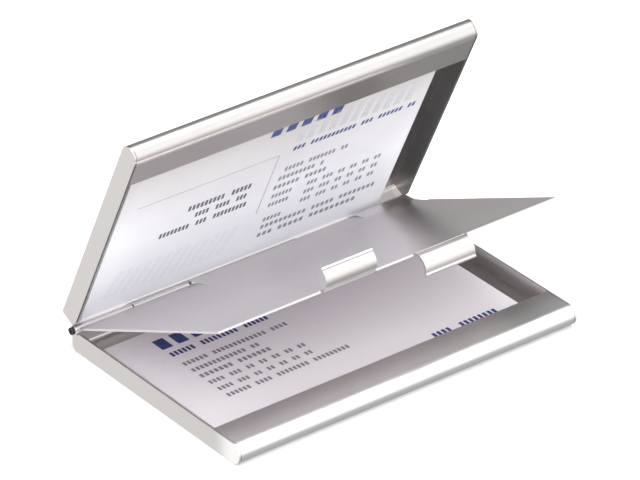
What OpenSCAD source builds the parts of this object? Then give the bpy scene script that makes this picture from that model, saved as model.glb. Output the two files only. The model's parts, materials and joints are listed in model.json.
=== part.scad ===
// Business card case of folded aluminium sheet: two identical trays share one
// hinge pin with a flat divider leaf, and each tray holds its own cards.
// Origin: middle of the lower tray's bottom face. X runs along the hinge,
// the hinge is on the +Y side and the rolled front edge on the -Y side.

/* [Tray] */
// Outer length of a tray along the hinge
case_w = 94; // [90:1:125]
// Outer depth of a tray, from the rolled front to the rear wall
case_d = 63; // [60:1:90]
// Outer height of one tray
tray_h = 5; // [4:0.1:8]
// Thickness of the aluminium sheet
sheet_t = 0.5; // [0.4:0.05:0.8]
// Depth of the front lip, from the rolled edge to the lip's free edge
lip_depth = 9.9; // [6:0.1:16]
// Outer radius of the fold between the floor and the rear wall
rear_fold_r = 1.5; // [1:0.1:2.5]
// Gap between an end wall and the folded sheet that it closes
end_seam = 0.1; // [0.05:0.05:0.3]

/* [Hinge] */
// Outer radius of the rolled knuckles
knuckle_r = 1; // [0.95:0.05:1.3]
// Diameter of the hinge pin
pin_d = 0.9; // [0.6:0.05:1]
// Running clearance around the pin, on radius
pin_clear = 0.05; // [0.02:0.01:0.1]
// Gap between neighbouring knuckles
knuckle_gap = 0.4; // [0.2:0.05:0.6]
// How far the end knuckles stand out past the end walls
knuckle_overhang = 0.3; // [0:0.1:0.8]
// Space between a knuckle and the notch that it turns in
notch_clear = 0.6; // [0.5:0.05:1]
// Space between the knuckles and the corner cut from each end wall
corner_clear = 0.15; // [0.1:0.05:0.3]
// Length of the corner cut from each end wall beside the hinge
corner_cut_y = 3.2; // [3:0.1:5]
// Diameter of the pin's head
pin_head_d = 1.8; // [1.4:0.1:2]
// Thickness of the pin's head
pin_head_t = 0.7; // [0.4:0.1:1]
// Diameter of the punch mark in the pin's head
punch_d = 0.8; // [0.4:0.1:1]
// Depth of the punch mark in the pin's head
punch_depth = 0.3; // [0.1:0.05:0.35]

/* [Divider] */
// Thickness of the divider leaf
leaf_t = 0.5; // [0.4:0.05:0.8]
// Gap between the closed leaf and each tray
leaf_clear = 0.1; // [0.05:0.05:0.3]
// How far the leaf stops short of the trays at each end and at the front roll
leaf_inset = 0.4; // [0.3:0.1:1]
// Distance from the leaf's front edge to the foremost line of the rolls
leaf_setback = 1.6; // [1:0.1:4]
// Distance ahead of the pin at which the leaf starts to curve up to the knuckles
leaf_ramp = 10; // [6:0.5:24]
// Distance ahead of the pin at which the leaf rises further to pass over a tray's knuckle
cover_ramp = 4.6; // [3.5:0.1:8]

/* [Clips] */
// Length of each snap clip along the front edge
clip_w = 13.8; // [8:0.2:20]
// Distance between the middles of the two clips
clip_pitch = 25.4; // [22:0.2:40]
// Shift of the pair of clips along the front edge
clip_shift = 1; // [-3:0.5:3]
// Gap between a closed clip and the foremost line of the roll
clip_gap = 0.35; // [0.3:0.05:0.6]
// Clearance between a clip's neck and the roll as the case opens
neck_clear = 0.05; // [0.02:0.01:0.1]
// Inner radius of the outward flare at a clip's tip
flare_r = 0.5; // [0.3:0.1:1]
// Angle that the flare turns through
flare_turn = 75; // [40:5:90]
// Length of the flat between a clip's main curve and its flare
neck_flat = 0.1; // [0.05:0.05:0.2]
// Width of the relief cut at each side of a clip
relief_w = 0.6; // [0.4:0.1:1]
// Depth of the relief cut at each side of a clip
relief_d = 1.2; // [0.8:0.1:2]

/* [Cards] */
// Length of the lower card
card_w = 85; // [80:1:90]
// Depth of a business card
card_d = 55; // [50:1:55]
// Thickness of a business card
card_t = 0.38; // [0.25:0.01:0.4]
// Air between one card and the next, and under the lowest one
card_air = 0.02; // [0.01:0.01:0.05]
// Play between the front of the lower card and the inside of the roll
base_card_play = 0.04; // [0.02:0.02:2]
// Length of the upper cards
lid_card_w = 84; // [80:1:90]
// Play between the rear edge of an upper card and the fold or wall that it rests against
lid_card_play = 0.04; // [0.02:0.02:1]
// Shift of the upper cards along the hinge
lid_card_shift = -1.9; // [-2:0.1:2]

/* [Pose] */
// Angle between the lower tray and the divider leaf at rest
leaf_angle = 24.5; // [0:0.5:55]
// Angle between the lower tray and the lid at rest
lid_angle = 63.5; // [0:0.5:110]

/* [Hidden] */
$fn = 96;
SLOTS = 6;                 // knuckle places along the hinge
TRAY_SLOTS = [1, 5];       // places of a tray's own knuckles, seen from -X
LEAF_SLOTS = [2, 3];       // places of the leaf's long knuckle
LEAF_COVER_SLOT = 5;       // place where the leaf lies over a tray's knuckle
LID_CARD_NODES = ["lid_card_1", "lid_card_2", "lid_card_3", "lid_card_4", "lid_card_5",
                  "lid_card_6", "lid_card_7"];
RISE_STEPS = 10;           // straight steps in the leaf's curve
LID_CARDS = len(LID_CARD_NODES);

far = case_w + case_d;                         // longer than any cut needs
closed_gap = leaf_t + 2 * leaf_clear;          // between the rims of the closed trays
axis_y = case_d / 2 - knuckle_r;               // knuckles are tangent to the rear walls
axis_z = tray_h + closed_gap / 2;
roll_r = tray_h / 2;                           // outer radius of the rolled front
roll_y = -case_d / 2 + roll_r;
wall_in = case_w / 2 - sheet_t;                // inner face of an end wall
fold_end = wall_in - end_seam;                 // end of the folded sheet
slot_w = case_w / SLOTS;
barrel_end = case_w / 2 + knuckle_overhang;
notch_z = axis_z - knuckle_r - notch_clear;    // top of the rear wall between knuckles
bore_r = pin_d / 2 + pin_clear;

// The corner cut is tangent to a circle round the pin that clears the knuckles
corner_s = corner_cut_y - knuckle_r;
corner_r = knuckle_r + corner_clear;
corner_cut_h = corner_cut_y * (corner_r * sqrt(pow(corner_s, 2) + pow(closed_gap / 2, 2) - pow(corner_r, 2))
                               - corner_s * closed_gap / 2) / (pow(corner_s, 2) - pow(corner_r, 2));

// The lower card's front edge meets the inside of the roll at the card's own height
card_meet = roll_r - sheet_t - card_air;
base_card_front = roll_r - sqrt(pow(roll_r - sheet_t, 2) - pow(card_meet, 2)) + base_card_play;

// Each upper card has slid down to the rear fold or the rear wall, whichever it meets first
function lid_card_lift(i) = card_air + i * (card_t + card_air);
function fold_meet(i) = max(0, rear_fold_r - sheet_t - lid_card_lift(i));
function lid_card_rear(i) =
    rear_fold_r - sqrt(pow(rear_fold_r - sheet_t, 2) - pow(fold_meet(i), 2)) + lid_card_play;

// ---- helpers ----

// Extrudes a section drawn in depth and height along the hinge, from x0 to x1
module along_x(x0, x1) {
    translate([x0, 0, 0]) rotate([90, 0, 90]) linear_extrude(x1 - x0) children();
}

// A flat band between two radii, from angle a0 to a1 (less than 180 apart)
module arc_band(inner_r, outer_r, a0, a1) {
    reach = 2 * outer_r;
    mid = (a0 + a1) / 2;
    intersection() {
        difference() { circle(outer_r); circle(inner_r); }
        polygon([[0, 0], reach * [cos(a0), sin(a0)], reach * [cos(mid), sin(mid)],
                 reach * [cos(a1), sin(a1)]]);
    }
}

// Left end of a knuckle place; the outermost ones reach to the end of the barrel
function slot_start(i) = -case_w / 2 + i * slot_w + knuckle_gap / 2;
function slot_stop(i) = slot_start(i) + slot_w - knuckle_gap;
function knuckle_start(i) = i == 0 ? -barrel_end : slot_start(i);
function knuckle_stop(i) = i == SLOTS - 1 ? barrel_end : slot_stop(i);

// Swings children about the hinge pin, front edge upwards
module opened(angle) {
    translate([0, axis_y, axis_z]) rotate([-angle, 0, 0]) translate([0, -axis_y, -axis_z]) children();
}

// ---- trays ----

// Floor, rolled front, front lip and low rear wall, as one folded section
module tray_section() {
    floor_end = case_d / 2 - rear_fold_r;
    translate([roll_y, 0]) square([floor_end - roll_y, sheet_t]);
    translate([roll_y, roll_r]) difference() {
        circle(roll_r);
        circle(roll_r - sheet_t);
        translate([0, -far]) square(2 * far);
    }
    translate([roll_y, tray_h - sheet_t]) square([lip_depth - roll_r, sheet_t]);
    translate([floor_end, rear_fold_r]) difference() {
        circle(rear_fold_r);
        circle(rear_fold_r - sheet_t);
        translate([-far, -far]) square([far, 2 * far]);
        translate([-far, 0]) square([2 * far, far]);
    }
    translate([case_d / 2 - sheet_t, rear_fold_r]) square([sheet_t, notch_z - rear_fold_r]);
}

// Rear wall carried up and rolled round the pin
module knuckle_section() {
    translate([case_d / 2 - sheet_t, notch_z - sheet_t]) square([sheet_t, axis_z - notch_z + sheet_t]);
    translate([axis_y, axis_z]) circle(knuckle_r);
}

// Outline of an end wall: round at the roll, cut away beside the hinge
module end_wall_outline() {
    difference() {
        union() {
            translate([roll_y, roll_r]) circle(roll_r);
            translate([roll_y, 0]) square([case_d / 2 - rear_fold_r - roll_y, tray_h]);
            translate([case_d / 2 - rear_fold_r, rear_fold_r]) circle(rear_fold_r);
            translate([roll_y, rear_fold_r]) square([case_d / 2 - roll_y, tray_h - rear_fold_r]);
        }
        polygon([[case_d / 2 - corner_cut_y, tray_h], [case_d / 2, tray_h - corner_cut_h],
                 [case_d / 2 + sheet_t, tray_h - corner_cut_h], [case_d / 2 + sheet_t, tray_h + sheet_t],
                 [case_d / 2 - corner_cut_y, tray_h + sheet_t]]);
    }
}

// One tray, in the place of the lower one
module tray() {
    difference() {
        union() {
            along_x(-fold_end, fold_end) tray_section();
            for (side = [-1, 1])
                along_x(side * (wall_in + sheet_t / 2) - sheet_t / 2, side * (wall_in + sheet_t / 2) + sheet_t / 2)
                    end_wall_outline();
            along_x(-wall_in - sheet_t / 2, wall_in + sheet_t / 2)
                translate([roll_y, 0]) square([case_d / 2 - rear_fold_r - roll_y, sheet_t]);
            for (i = TRAY_SLOTS) {
                along_x(slot_start(i), min(knuckle_stop(i), fold_end)) knuckle_section();
                along_x(slot_start(i), knuckle_stop(i)) translate([axis_y, axis_z]) circle(knuckle_r);
            }
        }
        along_x(-far, far) translate([axis_y, axis_z]) circle(bore_r);
    }
}

module base_tray() {
    color([0.74, 0.73, 0.72]) tray();
}

module lid_tray() {
    color([0.78, 0.77, 0.76])
        opened(lid_angle) translate([0, 0, 2 * axis_z]) rotate([0, 180, 0]) tray();
}

// ---- pin ----

module hinge_pin() {
    color([0.35, 0.35, 0.37]) translate([0, axis_y, axis_z]) rotate([0, 90, 0]) difference() {
        union() {
            translate([0, 0, -barrel_end - pin_clear]) cylinder(h = 2 * barrel_end + pin_clear, r = pin_d / 2);
            translate([0, 0, -barrel_end - pin_clear - pin_head_t]) cylinder(h = pin_head_t, r = pin_head_d / 2);
        }
        translate([0, 0, -barrel_end - pin_clear - pin_head_t - punch_depth])
            cylinder(h = 2 * punch_depth, r = punch_d / 2);
    }
}

// ---- divider leaf ----

// Front edge of the leaf, and the centre of the clips' main curve ahead of the pin
leaf_front = case_d - knuckle_r - leaf_setback;
clip_in_r = roll_r + leaf_clear;
clip_centre = case_d - knuckle_r - clip_in_r + clip_gap;
clip_rise = leaf_t / 2 + clip_in_r;
neck_angle = acos((case_d - knuckle_r + neck_clear - clip_centre) / clip_in_r);

// Places a section drawn as distance ahead of the pin and height above the leaf's middle
module leaf_along_x(x0, x1) {
    translate([x0, axis_y, axis_z]) mirror([0, 1, 0]) rotate([90, 0, 90]) linear_extrude(x1 - x0) children();
}

// Height of the leaf's upper face at a distance ahead of the pin, where it curves up to the
// knuckles and then rises by a further step
leaf_crest = knuckle_r + notch_clear;
function share_of(ahead, from) = max(0, (from - ahead) / (from - leaf_crest));
function leaf_top(ahead, step) = leaf_t / 2 + (knuckle_r - leaf_t / 2) * pow(share_of(ahead, leaf_ramp), 2)
    + step * share_of(ahead, cover_ramp);

// The leaf's rear part, from a distance ahead of the pin to the flat
module rise_section(start, step) {
    curve = [for (i = [0 : RISE_STEPS]) leaf_crest + (leaf_ramp - leaf_crest) * i / RISE_STEPS];
    upper = concat([[start, knuckle_r + step]], [for (ahead = curve) [ahead, leaf_top(ahead, step)]],
                   [[leaf_ramp + leaf_t, leaf_t / 2]]);
    last = len(upper) - 1;
    polygon(concat(upper, [for (i = [0 : last]) upper[last - i] - [0, leaf_t]]));
}

// A clip's section: out from the leaf, round the roll, in at the neck, out at the tip
module clip_section() {
    out_r = clip_in_r + leaf_t;
    root = leaf_front - relief_d;
    translate([root, -leaf_t / 2]) square([clip_centre - root, leaf_t]);
    translate([clip_centre, clip_rise]) {
        arc_band(clip_in_r, out_r, -90, 0);
        arc_band(clip_in_r, out_r, 0, neck_angle);
        rotate(neck_angle) translate([clip_in_r, -neck_flat / 2]) square([leaf_t, neck_flat]);
        translate((out_r + flare_r) * [cos(neck_angle), sin(neck_angle)])
            arc_band(flare_r, flare_r + leaf_t, neck_angle + 180, neck_angle + 180 - flare_turn);
    }
}

module leaf_plate() {
    side = case_w / 2 - leaf_inset;
    notch = knuckle_r + leaf_clear;
    long_start = slot_start(LEAF_SLOTS[0]);
    long_stop = slot_stop(LEAF_SLOTS[1]);
    cover_start = slot_start(LEAF_COVER_SLOT);
    leaf_along_x(-side, side)
        translate([leaf_ramp, -leaf_t / 2]) square([leaf_front - leaf_ramp, leaf_t]);
    leaf_along_x(-side, long_start)
        translate([notch, -leaf_t / 2]) square([leaf_ramp + leaf_t - notch, leaf_t]);
    leaf_along_x(long_start, long_stop) {
        circle(knuckle_r);
        rise_section(0, 0);
    }
    leaf_along_x(long_stop, cover_start) rise_section(notch, 0);
    leaf_along_x(cover_start, wall_in - leaf_inset) rise_section(0, leaf_clear + leaf_t);
}

module divider_leaf() {
    color([0.75, 0.74, 0.76]) opened(leaf_angle) difference() {
        union() {
            difference() {
                leaf_plate();
                for (clip = [-1, 1], side = [-1, 1])
                    leaf_along_x(clip_shift + clip * clip_pitch / 2 + side * (clip_w + relief_w) / 2 - relief_w / 2,
                                 clip_shift + clip * clip_pitch / 2 + side * (clip_w + relief_w) / 2 + relief_w / 2)
                        translate([leaf_front - relief_d, -leaf_t]) square([2 * relief_d, 2 * leaf_t]);
            }
            for (clip = [-1, 1])
                leaf_along_x(clip_shift + clip * clip_pitch / 2 - clip_w / 2,
                             clip_shift + clip * clip_pitch / 2 + clip_w / 2)
                    mirror([0, clip > 0 ? 1 : 0]) clip_section();
        }
        leaf_along_x(-far, far) circle(bore_r);
    }
}

// ---- cards ----

// One card with its lower face at a height above a tray's floor
module card(width, centre_x, front_gap, lift) {
    translate([centre_x - width / 2, -case_d / 2 + front_gap, sheet_t + lift]) cube([width, card_d, card_t]);
}

module base_card() {
    color([0.95, 0.94, 0.96]) card(card_w, 0, base_card_front, card_air);
}

// Cards in the lid, counted from the lid's floor outwards
module lid_card(i) {
    color([0.96, 0.96, 0.98]) opened(lid_angle) translate([0, 0, 2 * axis_z]) rotate([0, 180, 0])
        card(lid_card_w, -lid_card_shift, case_d - card_d - lid_card_rear(i), lid_card_lift(i));
}

base_tray();
hinge_pin();
divider_leaf();
lid_tray();
base_card();
for (i = [0 : LID_CARDS - 1])
    lid_card(i);
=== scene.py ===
import json
import math
import bpy
import bmesh
from mathutils import Matrix, Vector

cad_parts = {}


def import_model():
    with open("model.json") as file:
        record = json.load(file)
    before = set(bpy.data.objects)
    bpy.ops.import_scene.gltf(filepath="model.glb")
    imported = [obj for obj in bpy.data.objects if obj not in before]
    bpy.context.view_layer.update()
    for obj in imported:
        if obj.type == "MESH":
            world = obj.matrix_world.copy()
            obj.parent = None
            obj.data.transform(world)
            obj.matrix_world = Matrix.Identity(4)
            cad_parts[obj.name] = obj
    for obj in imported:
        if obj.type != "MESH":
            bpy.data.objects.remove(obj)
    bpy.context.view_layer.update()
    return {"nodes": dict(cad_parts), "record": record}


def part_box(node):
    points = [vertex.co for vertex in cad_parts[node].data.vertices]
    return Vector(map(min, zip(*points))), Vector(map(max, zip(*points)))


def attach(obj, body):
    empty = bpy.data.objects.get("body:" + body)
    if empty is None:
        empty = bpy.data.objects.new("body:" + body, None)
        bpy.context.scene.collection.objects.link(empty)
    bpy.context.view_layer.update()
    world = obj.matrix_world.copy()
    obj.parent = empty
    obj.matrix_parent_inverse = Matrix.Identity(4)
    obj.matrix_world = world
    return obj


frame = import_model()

MM = 0.001

# ---------------------------------------------------------------- sizes from the frame

JOINTS = {joint["name"]: joint for joint in frame["record"]["behaviour"]["joints"]}
AXIS = Vector(JOINTS["lid_hinge"]["pos_m"])         # a point on the hinge pin
LID_ANGLE = -math.radians(JOINTS["divider_hinge"]["range_deg"][0] + JOINTS["lid_hinge"]["range_deg"][0])
LID_CARDS = sorted(name for name in frame["nodes"] if name.startswith("lid_card_"))


def box(node):
    return [Vector(corner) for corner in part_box(node)]


CARD_LO, CARD_HI = box("base_card")
LID_CARD_LO, LID_CARD_HI = box(LID_CARDS[-1])       # the card nearest to the opening
CARD_DEPTH = CARD_HI.y - CARD_LO.y
CARD_THICK = CARD_HI.z - CARD_LO.z
SHEET_THICK = 0.5 * MM
TRAY_HEIGHT = 5 * MM                                # of one tray, without its knuckles
END_FACE = -box("base_tray")[0].x                   # outer face of an end wall


def lid_matrix():
    """Takes a point given as (along the hinge, from the hinge, towards the opening)."""
    out = Vector((0, -math.cos(LID_ANGLE), math.sin(LID_ANGLE)))
    up = Vector((0, -math.sin(LID_ANGLE), -math.cos(LID_ANGLE)))
    m = Matrix.Identity(4)
    m.col[0] = (1, 0, 0, 0)
    m.col[1] = (*out, 0)
    m.col[2] = (*up, 0)
    m.translation = AXIS
    return m


LID_OUT, LID_IN = (lid_matrix().col[i].xyz for i in (1, 2))
LID_CARD_DROP = (AXIS - (LID_CARD_LO + LID_CARD_HI) / 2).dot(LID_IN) - CARD_THICK / 2


# ---------------------------------------------------------------- node helpers

class Nodes:
    """A small builder for the node tree of a material or the world."""

    def __init__(self, owner):
        self.owner = owner
        owner.use_nodes = True
        self.tree = owner.node_tree

    def add(self, kind, **values):
        node = self.tree.nodes.new(kind)
        for key, value in values.items():
            if hasattr(node, key):
                setattr(node, key, value)
            else:
                node.inputs[key.replace("_", " ")].default_value = value
        return node

    def link(self, a, b):
        self.tree.links.new(a, b)

    def math(self, op, a, b):
        node = self.add("ShaderNodeMath", operation=op)
        for value, socket in zip((a, b), node.inputs):
            if isinstance(value, (int, float)):
                socket.default_value = value
            else:
                self.link(value, socket)
        return node.outputs[0]

    def ramp(self, fac, *stops):
        node = self.add("ShaderNodeValToRGB")
        for element, (pos, colour) in zip(node.color_ramp.elements, stops):
            element.position = pos
            element.color = (*colour, 1)
        self.link(fac, node.inputs[0])
        return node.outputs[0]

    def mix(self, fac, a, b, blend="MIX"):
        node = self.add("ShaderNodeMix", data_type="RGBA", blend_type=blend)
        for value, socket in ((fac, "Factor"), (a, "A"), (b, "B")):
            if hasattr(value, "is_linked"):
                self.link(value, node.inputs[socket])
            else:
                node.inputs[socket].default_value = value if socket == "Factor" else (*value, 1)
        return node.outputs["Result"]

    def place(self):
        return self.add("ShaderNodeTexCoord").outputs["Object"]

    def noise(self, place, scale, detail, roughness=0.5):
        node = self.add("ShaderNodeTexNoise", Scale=scale, Detail=detail, Roughness=roughness)
        self.link(place, node.inputs["Vector"])
        return node.outputs[0]

    def dot(self, a, b):
        node = self.add("ShaderNodeVectorMath", operation="DOT_PRODUCT")
        self.link(a, node.inputs[0])
        if hasattr(b, "is_linked"):
            self.link(b, node.inputs[1])
        else:
            node.inputs[1].default_value = b
        return node.outputs["Value"]

    def smooth(self, value, low, high, top=1):
        """Grows smoothly from 0 to top as the value goes from low to high."""
        node = self.add("ShaderNodeMapRange", interpolation_type="SMOOTHSTEP",
                        From_Min=low, From_Max=high, To_Min=0, To_Max=top)
        self.link(value, node.inputs["Value"])
        return node.outputs[0]

    def band(self, place, direction, low, high):
        """1 where the distance along a direction lies between two values, in metres, and 0 elsewhere."""
        along = self.dot(place, direction)
        return self.math("MULTIPLY", self.math("GREATER_THAN", along, low), self.math("LESS_THAN", along, high))

    def ends(self, place, low, high):
        """The same at both ends of the hinge line."""
        return self.math("MAXIMUM", *(self.band(place, (side, 0, 0), low, high) for side in (1, -1)))


class Material(Nodes):
    """The same for a new material, with its shader."""

    def __init__(self, name):
        super().__init__(bpy.data.materials.new(name))
        self.shader = self.tree.nodes["Principled BSDF"]

    def colour(self, source):
        self.link(source, self.shader.inputs["Base Color"])

    def roughness(self, source, spread, least):
        self.link(self.math("ADD", self.math("MULTIPLY", source, spread), least), self.shader.inputs["Roughness"])

    def bump(self, height, strength, distance):
        node = self.add("ShaderNodeBump", Strength=strength, Distance=distance)
        self.link(height, node.inputs["Height"])
        self.link(node.outputs[0], self.shader.inputs["Normal"])


# ---------------------------------------------------------------- materials

GRAIN_STRETCH = 0.05                                # rolled grain runs along the hinge
GRAIN_SCALE, CLOUD_SCALE = 2600, 55                 # of the fine grain and of slow changes of gloss
WORN_TINT, WORN_SHARE, WORN_REACH = (0.93, 0.92, 0.91), 0.5, 0.22 * MM
WORN_BREAKS = 0.16                                  # how much the clouds break up the wear along edges
RIM_SHADE_SHARE, MATT_SHARE = 0.3, 0.55                   # brightness left on rims darkened as painted shade, and loss of metal on the fold at the hinge
SHEEN_TINT = (0.82, 0.81, 0.82, 1)


def aluminium(name, tint, roughness, painted_light_areas=None, matt=None, rim_shade=None):
    """Satin anodised sheet: fine rolled grain along the hinge, cloudy changes of gloss, and brighter worn edges.

    The first mask function, called with (n, place), yields pairs of a mask and the share of the tint's brightness
    that is left
    there: painted shade where the share is below 1, painted highlight where it is above. The second gives the
    mask of the fold at the hinge, where the sheet is made less metallic, and the third that of rim edges darkened
    as painted shade."""
    n = Material(name)
    place = n.place()
    stretch = n.add("ShaderNodeMapping", Scale=(GRAIN_STRETCH, 1, 1))
    n.link(place, stretch.inputs["Vector"])
    fine = n.noise(stretch.outputs[0], GRAIN_SCALE, 3, 0.6)
    cloud = n.noise(place, CLOUD_SCALE, 4, 0.55)
    shade = n.math("ADD", n.math("MULTIPLY", fine, 0.6), n.math("MULTIPLY", cloud, 0.4))
    colour = n.ramp(shade, (0.35, [c * 0.95 for c in tint]), (0.65, [min(1, c * 1.03) for c in tint]))
    # painted light and shade: each mask sets the tint's brightness to its share
    for mask, share in painted_light_areas(n, place) if painted_light_areas else ():
        colour = n.mix(mask, colour, [min(1, c * share) for c in tint])
    round_edge = n.add("ShaderNodeBevel", samples=4, Radius=WORN_REACH)
    flat = n.add("ShaderNodeNewGeometry")
    turn = n.dot(round_edge.outputs[0], flat.outputs["Normal"])
    edge = n.math("LESS_THAN", n.math("ADD", turn, n.math("MULTIPLY", cloud, WORN_BREAKS)), 1.0)
    colour = n.mix(n.math("MULTIPLY", edge, WORN_SHARE), colour, WORN_TINT)
    # painted shade: the marked rim edges are darkened, standing in for the shadow gap beside the cards
    if rim_shade:
        colour = n.mix(rim_shade(n, place), colour, [c * RIM_SHADE_SHARE for c in tint])
    n.colour(colour)
    n.roughness(shade, 0.12, roughness - 0.06)
    # the fold mask, which also carries painted light, makes the sheet less metallic there
    if matt:
        n.link(n.math("SUBTRACT", 1, n.math("MULTIPLY", matt(n, place), MATT_SHARE)), n.shader.inputs["Metallic"])
    else:
        n.shader.inputs["Metallic"].default_value = 1
    n.shader.inputs["Specular Tint"].default_value = SHEEN_TINT
    n.bump(fine, 0.35, 0.02 * MM)
    return n.owner


def steel():
    """Dark turned steel."""
    n = Material("pin_steel")
    turned = n.noise(n.place(), 4000, 2)
    n.colour(n.ramp(turned, (0.3, (0.03, 0.03, 0.033)), (0.7, (0.08, 0.08, 0.085))))
    n.roughness(turned, 0.2, 0.2)
    n.shader.inputs["Metallic"].default_value = 1
    n.bump(turned, 0.2, 0.01 * MM)
    return n.owner


def painted_light_paper(name, colour_a, colour_b, start, along, reach=0.95):
    """Smooth coated card stock whose tint changes from one colour to another across the card, as painted light
    and shade.
    """
    n = Material(name)
    place = n.place()
    offset = n.add("ShaderNodeMapping", Location=[-c for c in start])
    n.link(place, offset.inputs["Vector"])
    across = n.dot(offset.outputs[0], Vector(along) / Vector(along).length ** 2)
    fibre = n.noise(place, 1800, 4, 0.65)
    soft = n.noise(place, 40, 2)
    fac = n.math("ADD", across, n.math("MULTIPLY", n.math("SUBTRACT", soft, 0.5), 0.25))
    tint = n.ramp(fac, (0.05, colour_a), (reach, colour_b))
    grain = n.ramp(fibre, (0.3, (0.97, 0.97, 0.97)), (0.7, (1, 1, 1)))
    n.colour(n.mix(1.0, tint, grain, "MULTIPLY"))
    n.roughness(fibre, 0.1, 0.42)
    n.bump(fibre, 0.08, 0.01 * MM)
    return n.owner


def ink(name, colour, wear):
    """Printed ink with slightly uneven cover."""
    n = Material(name)
    cover = n.noise(n.place(), 2200, 3)
    n.colour(n.ramp(cover, (0.4, colour), (0.75, [c + (1 - c) * wear for c in colour])))
    n.roughness(cover, 0.15, 0.4)
    return n.owner


# ---------------------------------------------------------------- materials on the CAD nodes

SKIN = 0.04 * MM                                    # depth of a face's own band
SHEET_TINT, LEAF_TINT = (0.70, 0.68, 0.67), (0.765, 0.738, 0.735)
ROLL_AT = CARD_LO.y + 0.5 * MM                      # where the front lip meets the roll
LIP_EDGE = ROLL_AT + 7 * MM                         # where the painted highlight on the lower lip fades out
LID_LIP_EDGE = LIP_EDGE + 3 * MM
FOLD_BEHIND, FOLD_AHEAD = 0.7 * MM, 0.5 * MM        # reach of the fold at the hinge, which carries painted light, on both sides of the pin
SHEET_BEVEL, PIN_BEVEL, CARD_BEVEL = 0.06 * MM, 0.04 * MM, 0.03 * MM
BEVEL_ANGLE = math.radians(40)                      # sharper edges than this are softened


# Painted light and shade on the lower tray's sheet: a darker inner floor and end faces, and a brighter front.
def base_painted_light(n, place):
    # painted shade: the inner face of the tray's floor is darkened
    yield n.band(place, (0, 0, 1), SHEET_THICK - SKIN, SHEET_THICK + SKIN), 0.73
    # painted shade: the outer faces of the end walls are darkened slightly
    yield n.ends(place, END_FACE - SKIN, END_FACE + SKIN), 0.94
    # painted highlight: the tint rises to full brightness towards the front roll and over everything in front of
    # it
    yield n.smooth(n.dot(place, (0, -1, 0)), -LIP_EDGE, -ROLL_AT), 1.5


# Painted light and shade on the upper tray's sheet: a darker inner floor, end walls and front lip, and a
# brightened fold.
def lid_painted_light(n, place):
    floor_at, inner_face = AXIS.dot(LID_IN) - AXIS.z + SHEET_THICK, END_FACE - SHEET_THICK
    # painted shade: the inner face of the lid's floor is darkened
    yield n.band(place, LID_IN, floor_at - SKIN, floor_at + SKIN), 0.50
    # painted shade: the inner faces of the lid's end walls are darkened
    yield n.ends(place, inner_face - SKIN, inner_face + SKIN), 0.48
    # painted shade: the outer faces of the lid's end walls are darkened very slightly
    yield n.ends(place, END_FACE - SKIN, END_FACE + SKIN), 0.98
    # painted shade: the lid's front lip is darkened
    yield lid_lip_painted_shade(n, place), 0.80
    # painted light: the fold at the hinge is brightened
    yield lid_fold_painted_light(n, place), 1.35


def lid_rim_face(n, place):
    rim_at = AXIS.dot(LID_IN) - (AXIS.z - TRAY_HEIGHT)
    return n.band(place, LID_IN, rim_at - 2 * SKIN, rim_at + SKIN)


# Painted shade: the mask of the lid's front lip, on the rim face, which is darkened.
def lid_lip_painted_shade(n, place):
    front_at = AXIS.dot(LID_OUT) + AXIS.y
    return n.math("MULTIPLY", n.band(place, LID_OUT, front_at - LID_LIP_EDGE, front_at - ROLL_AT),
                  lid_rim_face(n, place))


# Painted light: the fold at the hinge, brightened to fill the shade between the cards and the pin; the sheet is
# also made less metallic there.
def lid_fold_painted_light(n, place):
    hinge_at = AXIS.dot(LID_OUT)
    return n.band(place, LID_OUT, hinge_at - FOLD_BEHIND, hinge_at + FOLD_AHEAD)


# Painted shade: the rims of the lid's end walls, darkened to stand in for the shadow gap beside the cards.
def lid_rims_painted_shade(n, place):
    return n.math("MULTIPLY", n.ends(place, END_FACE - SHEET_THICK + SKIN, END_FACE - SKIN),
                  lid_rim_face(n, place))


BASE_SHEET = aluminium("satin_aluminium_lower", SHEET_TINT, 0.30, base_painted_light)
LID_SHEET = aluminium("satin_aluminium_upper", SHEET_TINT, 0.30, lid_painted_light, lid_fold_painted_light, lid_rims_painted_shade)
LEAF = aluminium("satin_aluminium_leaf", LEAF_TINT, 0.32)
STEEL = steel()
# Lower card: its own lilac-white, with painted light making it slightly brighter towards the rear, in the shade
# of the leaf.
BASE_PAPER = painted_light_paper("card_lower", (0.92, 0.89, 0.93), (0.94, 0.89, 0.96), (0, CARD_LO.y, 0), (0, CARD_DEPTH, 0))
# Upper card: painted shade makes it much darker at its edge by the lid's roll, where the light is strongest, and
# painted light keeps it bright further down, in the shade of the leaf.
LID_PAPER = painted_light_paper("card_upper", (0.52, 0.505, 0.505), (0.88, 0.89, 0.95), (0, LID_CARD_LO.y, LID_CARD_HI.z),
                  (0, LID_CARD_HI.y - LID_CARD_LO.y, LID_CARD_LO.z - LID_CARD_HI.z), 0.55)


def dress(node, material, bevel):
    obj = frame["nodes"][node]
    if not obj.material_slots:
        obj.data.materials.append(material)
    for slot in obj.material_slots:
        slot.material = material
    edge = obj.modifiers.new("soft_edges", "BEVEL")
    edge.width = bevel
    edge.segments = 2
    edge.limit_method = "ANGLE"
    edge.angle_limit = BEVEL_ANGLE
    edge.harden_normals = True


dress("base_tray", BASE_SHEET, SHEET_BEVEL)
dress("lid_tray", LID_SHEET, SHEET_BEVEL)
dress("divider_leaf", LEAF, SHEET_BEVEL)
dress("hinge_pin", STEEL, PIN_BEVEL)
dress("base_card", BASE_PAPER, CARD_BEVEL)
for card in LID_CARDS:
    dress(card, LID_PAPER, CARD_BEVEL)

# ---------------------------------------------------------------- generic card prints

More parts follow.
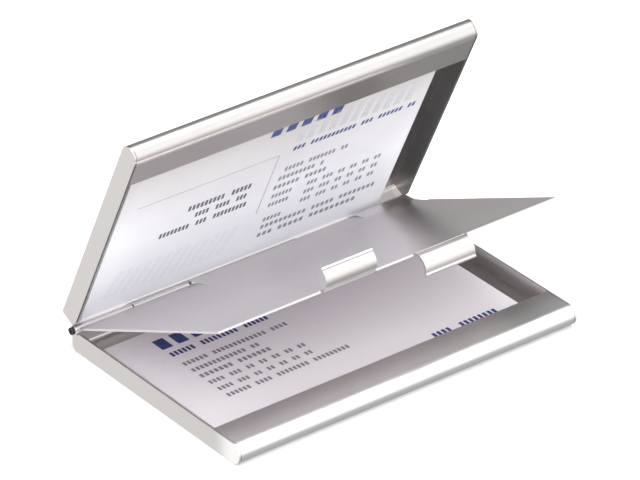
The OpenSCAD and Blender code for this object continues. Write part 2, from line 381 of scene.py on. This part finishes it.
INK_HEIGHT = 0.012 * MM                             # how far printed shapes stand on the card
INK_SINK = 0.002 * MM
LID_PRINT_X, LID_PRINT_S = -1.04 * MM, 1.5 * MM     # the prints' origin on the lid's top card
BLOCK_SHARE = 0.80 / (0.80 + 0.42)                  # of the pitch of the blocks in a row
WORD_GAP = 1.5 / 1.6                                # between groups of blocks, times the row's height
BLOCK_CORNER, RULE_CORNER = 0.12, 0.02              # clipped off, in millimetres

# Rows of blocks: from and to along the hinge, place in depth, height, blocks in each group, and lean.
# The upper card's depth is measured from the hinge, and the lower card's from the frame's origin.
LID_HEADING = ((-4.5, 16.5, 45.2, 4.8, (5,), 0.12),
               (4.4, 39.0, 36.2, 1.5, (3, 11, 3, 6, 2), 0.18))
LID_PALE = ((4.0, 37.5, 39.4, 6.6, (11,), 0.12),)
LID_SOFT = ((-39.0, -5.0, 3.0, 9.5, (13,), 0.3),)
LID_ROWS = ((4.4, 22.4, 28.8, 1.5, (5, 7, 2)),
            (3.6, 16.6, 25.6, 1.5, (9, 1)),
            (3.2, 18.3, 22.4, 1.5, (6, 5)),
            (3.7, 9.6, 19.0, 1.45, (6,)),
            (13.7, 35.0, 19.0, 1.45, (3, 3, 2, 2, 2, 2)),
            (3.7, 9.6, 15.8, 1.45, (6,)),
            (13.7, 35.0, 15.8, 1.45, (3, 3, 2, 2, 2, 2)),
            (13.7, 35.0, 12.6, 1.45, (3, 3, 2, 2, 2, 2)),
            (4.0, 9.2, 10.2, 1.45, (5,)),
            (4.1, 37.1, 7.4, 1.45, (10, 5, 8)),
            (4.1, 32.5, 4.3, 1.45, (3, 5, 9)))
LID_NAMES = ((-21.8, -4.2, 27.2, 1.9, (9, 5)),
             (-19.0, -4.6, 23.8, 1.8, (4, 4, 3)),
             (-27.8, -3.6, 20.2, 1.8, (8, 3, 9)))
BASE_HEADING = ((-32.4, -19.0, 17.2, 4.4, (3,)),
                (-32.2, -5.4, 13.4, 1.9, (6, 9, 6)))
BASE_NAME = ((18.6, 37.0, -17.2, 2.6, (4, 8)),)
BASE_ROWS = ((-32.4, -3.6, 8.6, 1.5, (6, 13, 4)),
             (-32.4, -13.8, 5.3, 1.5, (13, 2)),
             (-32.4, -12.8, 2.2, 1.5, (7, 7)),
             (-32.4, -5.8, -1.2, 1.5, (4, 3, 2, 2, 2, 2, 2)),
             (-32.4, -6.4, -4.6, 1.5, (4, 3, 2, 2, 2, 2, 2)),
             (-32.4, 1.45, -7.9, 1.5, (6, 4, 8, 9)))
# Thin rules: from and to along the hinge, and from and to in depth.
LID_RULES = ((-37.7, 0.9, 36.3, 36.52), (0.68, 0.9, 15.0, 36.3))


def slab(bm, at, x0, x1, s0, s1, lean=0.0, corner=BLOCK_CORNER):
    """A flat printed shape with clipped corners, from x0 to x1 and s0 to s1 in millimetres."""
    c = min(corner, (x1 - x0) / 3, (s1 - s0) / 3)
    outline = [(x0 + c, s0), (x1 - c, s0), (x1, s0 + c), (x1, s1 - c), (x1 - c, s1), (x0 + c, s1),
               (x0, s1 - c), (x0, s0 + c)]
    low, high = [[bm.verts.new(at @ Vector(((x + lean * (s - s0)) * MM, s * MM, lift))) for x, s in outline]
                 for lift in (-INK_SINK, INK_HEIGHT)]
    bm.faces.new(high)
    bm.faces.new(list(reversed(low)))
    for i in range(len(low)):
        j = (i + 1) % len(low)
        bm.faces.new((low[i], low[j], high[j], high[i]))


def blocks(bm, at, x0, x1, s, height, words, lean=0.0):
    """A row of small blocks in groups, standing for a printed line."""
    gap = WORD_GAP * height
    pitch = (x1 - x0 - (len(words) - 1) * gap) / sum(words)
    x = x0
    for count in words:
        for _ in range(count):
            slab(bm, at, x, x + pitch * BLOCK_SHARE, s, s + height, lean)
            x += pitch
        x += gap


def rule(bm, at, x0, x1, s0, s1):
    slab(bm, at, x0, x1, s0, s1, corner=RULE_CORNER)


def printed(name, body, material, at, draw, table):
    mesh = bpy.data.meshes.new(name)
    bm = bmesh.new()
    for entry in table:
        draw(bm, at, *entry)
    bmesh.ops.recalc_face_normals(bm, faces=bm.faces)
    bm.to_mesh(mesh)
    bm.free()
    obj = bpy.data.objects.new(name, mesh)
    bpy.context.scene.collection.objects.link(obj)
    obj.data.materials.append(material)
    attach(obj, body)


NAVY = ink("ink_navy", (0.035, 0.05, 0.22), 0.05)
GREY = ink("ink_grey", (0.24, 0.24, 0.29), 0.10)
DARK = ink("ink_dark", (0.10, 0.10, 0.12), 0.08)
PALE = ink("ink_pale", (0.50, 0.50, 0.54), 0.25)
SOFT = ink("ink_soft", (0.80, 0.82, 0.90), 0.40)
RULE = ink("ink_rule", (0.34, 0.34, 0.36), 0.10)

LID_FACE = lid_matrix() @ Matrix.Translation((LID_PRINT_X, LID_PRINT_S, -LID_CARD_DROP))
for piece, material, draw, table in (("upper_heading", NAVY, blocks, LID_HEADING),
                                     ("upper_pale_band", PALE, blocks, LID_PALE),
                                     ("upper_soft_shapes", SOFT, blocks, LID_SOFT),
                                     ("upper_rows", GREY, blocks, LID_ROWS),
                                     ("upper_name_rows", DARK, blocks, LID_NAMES),
                                     ("upper_rule", RULE, rule, LID_RULES)):
    printed(piece, "upper_cards", material, LID_FACE, draw, table)

BASE_FACE = Matrix.Translation((0, 0, CARD_HI.z))
for piece, material, table in (("lower_heading", NAVY, BASE_HEADING), ("lower_name_row", NAVY, BASE_NAME),
                               ("lower_rows", GREY, BASE_ROWS)):
    printed(piece, "lower_card", material, BASE_FACE, blocks, table)

# ---------------------------------------------------------------- studio

IMAGE_WIDTH, SENSOR_WIDTH = 640, 36                 # pixels, and millimetres
FLOOR_DROP, FLOOR_REACH = 0.2 * MM, 3
LIGHT_TARGET = Vector((0, 0, 0.02))
WORLD_TINT, WORLD_LEAST = (1, 0.99, 0.98, 1), 0.03
WORLD_LIGHT = 0.88                                  # even light from all round
WORLD_LOBES = (                                     # direction, full within, gone beyond (degrees), change
    ((0.50, -0.58, 0.64), 20, 60, 0.45),            # large soft box at the front right, above
    ((0.52, -0.85, 0.02), 12, 40, 0.15),            # pale panel low down at the front right
    ((0.54, 0.66, 0.55), 12, 36, -0.68),            # dim corner behind, at the right
    ((0, 0, -1), 55, 88, -0.45),                    # below the table's edge
    ((-0.52, 0.69, -0.50), 20, 52, 0.55),           # pale wall low down at the left
    ((0.52, 0.83, -0.20), 8, 30, -0.32),            # dim low edge behind, at the right
)


def camera():
    azimuth, elevation, roll = math.radians(-36.64), math.radians(30.07), math.radians(-1.0)
    focal_px, shift_x, shift_y, distance = 5084.87, -1.163 * MM, 21.95 * MM, 1139.98 * MM
    back = Vector((math.sin(azimuth) * math.cos(elevation), -math.cos(azimuth) * math.cos(elevation),
                   math.sin(elevation)))
    right = Vector((math.cos(azimuth), math.sin(azimuth), 0))
    up = back.cross(right)
    c, s = math.cos(roll), math.sin(roll)
    cam_x, cam_y = right * c + up * s, up * c - right * s
    data = bpy.data.cameras.new("camera")
    data.sensor_width = SENSOR_WIDTH
    data.lens = focal_px * SENSOR_WIDTH / IMAGE_WIDTH
    data.clip_start, data.clip_end = 0.05, 20
    obj = bpy.data.objects.new("camera", data)
    turn = Matrix((cam_x, cam_y, back)).transposed().to_4x4()
    turn.translation = cam_x * shift_x + cam_y * shift_y + back * distance
    obj.matrix_world = turn
    bpy.context.scene.collection.objects.link(obj)
    bpy.context.scene.camera = obj


def area(name, place, size, power):
    data = bpy.data.lights.new(name, "AREA")
    data.shape = "RECTANGLE"
    data.size = data.size_y = size
    data.energy = power
    obj = bpy.data.objects.new(name, data)
    obj.location = place
    obj.rotation_euler = (LIGHT_TARGET - Vector(place)).to_track_quat("-Z", "Y").to_euler()
    bpy.context.scene.collection.objects.link(obj)


def floor():
    mesh = bpy.data.meshes.new("floor")
    bm = bmesh.new()
    bmesh.ops.create_grid(bm, x_segments=4, y_segments=4, size=FLOOR_REACH)
    bm.to_mesh(mesh)
    bm.free()
    obj = bpy.data.objects.new("floor", mesh)
    obj.location.z = -FLOOR_DROP
    obj.visible_glossy = False                      # the sheet metal mirrors the dim room, not the paper
    bpy.context.scene.collection.objects.link(obj)
    n = Material("floor_paper")
    n.colour(n.ramp(n.noise(n.place(), 30, 3), (0.3, (0.93, 0.93, 0.93)), (0.7, (0.95, 0.95, 0.95))))
    n.shader.inputs["Roughness"].default_value = 0.9
    obj.data.materials.append(n.owner)


def world():
    """A plain soft studio: even pale light, with the brighter and dimmer parts listed in WORLD_LOBES."""
    studio = bpy.data.worlds.new("studio")
    bpy.context.scene.world = studio
    n = Nodes(studio)
    background = n.tree.nodes["Background"]
    view = n.add("ShaderNodeTexCoord").outputs["Generated"]
    total = WORLD_LIGHT
    for direction, near, far_out, strength in WORLD_LOBES:
        towards = n.dot(view, Vector(direction).normalized())
        low, high = (math.cos(math.radians(angle)) for angle in (far_out, near))
        total = n.math("ADD", total, n.smooth(towards, low, high, strength))
    n.link(n.math("MAXIMUM", total, WORLD_LEAST), background.inputs["Strength"])
    background.inputs["Color"].default_value = WORLD_TINT


camera()
floor()
world()
area("front_fill", (-0.60, -0.62, 0.72), 0.9, 7)
area("top_fill", (0.05, 0.10, 1.20), 0.9, 12)

bpy.context.scene.view_settings.view_transform = "Standard"
